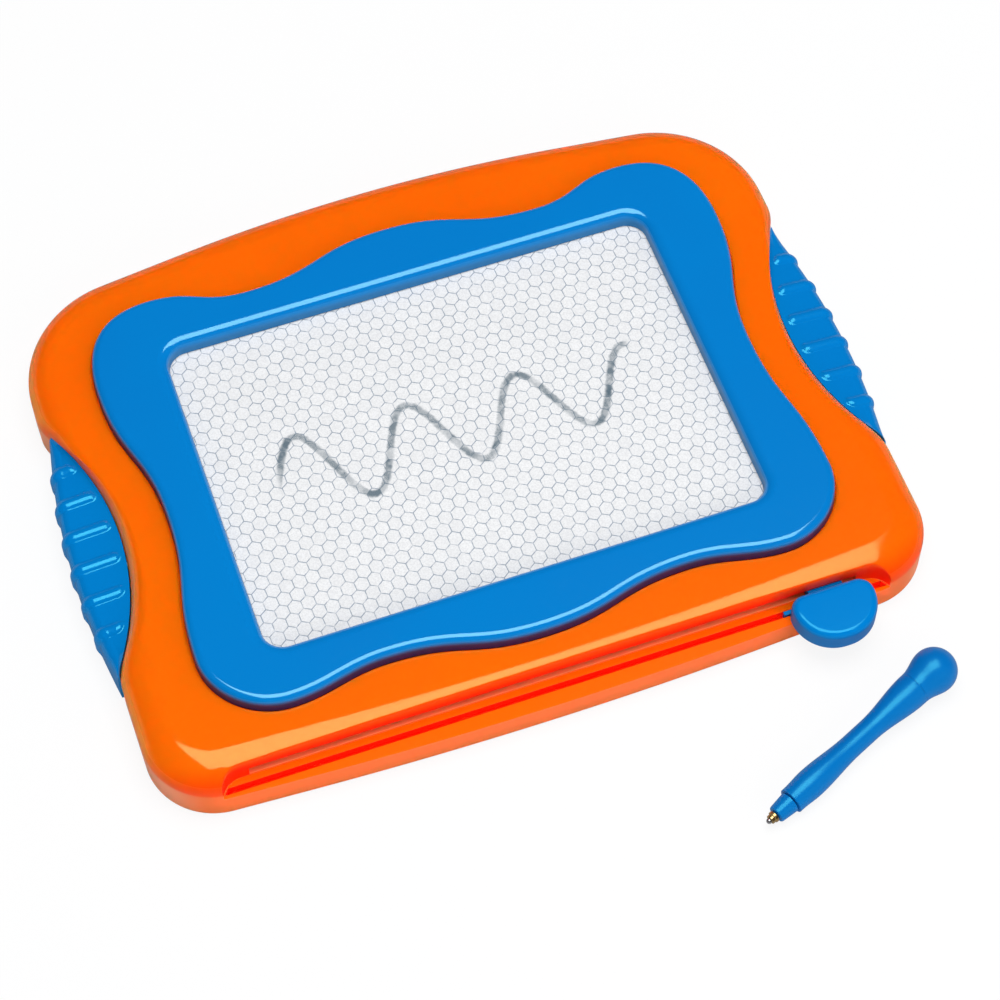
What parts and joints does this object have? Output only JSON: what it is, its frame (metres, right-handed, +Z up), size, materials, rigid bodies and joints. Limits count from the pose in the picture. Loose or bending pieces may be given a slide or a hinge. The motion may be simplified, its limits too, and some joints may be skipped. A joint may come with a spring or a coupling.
{
  "type": "magnetic drawing board",
  "caption": "Hand-held drawing board: wavy frame round a honeycomb drawing panel, ribbed side grips, a sliding magnetic eraser along the front edge and a separate round-headed magnet pen.",
  "frame": {"origin": "middle of the flat underside of the board, below the middle of the drawing window's width", "axes": "+X along the board to the eraser's end, +Y away from the front edge, +Z up out of the drawing window"},
  "size_m": [0.2418, 0.237, 0.0228],
  "materials": {
    "front_cover": "smooth glossy orange plastic",
    "rear_cover": "smooth glossy orange plastic",
    "bezel": "smooth blue plastic",
    "screen_front_sheet": "clear and white sheet",
    "honeycomb_core": "white fluid cells between thin grey walls",
    "screen_back_sheet": "clear and white sheet",
    "left_grip": "smooth blue plastic",
    "right_grip": "smooth blue plastic",
    "case_screw_1": "zinc-plated steel",
    "case_screw_2": "zinc-plated steel",
    "case_screw_3": "zinc-plated steel",
    "case_screw_4": "zinc-plated steel",
    "case_screw_5": "zinc-plated steel",
    "case_screw_6": "zinc-plated steel",
    "case_screw_7": "zinc-plated steel",
    "case_screw_8": "zinc-plated steel",
    "bezel_screw_1": "zinc-plated steel",
    "bezel_screw_2": "zinc-plated steel",
    "bezel_screw_3": "zinc-plated steel",
    "bezel_screw_4": "zinc-plated steel",
    "eraser_knob": "smooth blue plastic",
    "eraser_bar": "smooth blue plastic",
    "eraser_magnet": "dark bonded ferrite",
    "eraser_screw": "zinc-plated steel",
    "pen_nose": "smooth blue plastic",
    "pen_barrel": "smooth blue plastic",
    "pen_bulb": "smooth blue plastic",
    "pen_collar": "turned brass",
    "pen_tip_ball": "polished steel",
    "pen_magnet": "dark bonded ferrite"
  },
  "bodies": {
    "case": {"front_cover": "front_cover", "rear_cover": "rear_cover", "bezel": "bezel", "screen_front_sheet": "screen_front_sheet", "honeycomb_core": "honeycomb_core", "screen_back_sheet": "screen_back_sheet", "left_grip": "left_grip", "right_grip": "right_grip", "case_screw_1": "case_screw_1", "case_screw_2": "case_screw_2", "case_screw_3": "case_screw_3", "case_screw_4": "case_screw_4", "case_screw_5": "case_screw_5", "case_screw_6": "case_screw_6", "case_screw_7": "case_screw_7", "case_screw_8": "case_screw_8", "bezel_screw_1": "bezel_screw_1", "bezel_screw_2": "bezel_screw_2", "bezel_screw_3": "bezel_screw_3", "bezel_screw_4": "bezel_screw_4"},
    "slider": {"eraser_knob": "eraser_knob", "eraser_bar": "eraser_bar", "eraser_magnet": "eraser_magnet", "eraser_screw": "eraser_screw"},
    "pen": {"pen_nose": "pen_nose", "pen_barrel": "pen_barrel", "pen_bulb": "pen_bulb", "pen_collar": "pen_collar", "pen_tip_ball": "pen_tip_ball", "pen_magnet": "pen_magnet"}
  },
  "joints": [
    {"name": "eraser_slide", "type": "slide", "parent": "case", "child": "slider", "axis": [1, 0, 0], "range_m": [-0.1645, 0.0035]},
    {"name": "pen_lift", "type": "slide", "parent": "case", "child": "pen", "axis": [0, 0, 1], "range_m": [0, 0.1]}
  ]
}
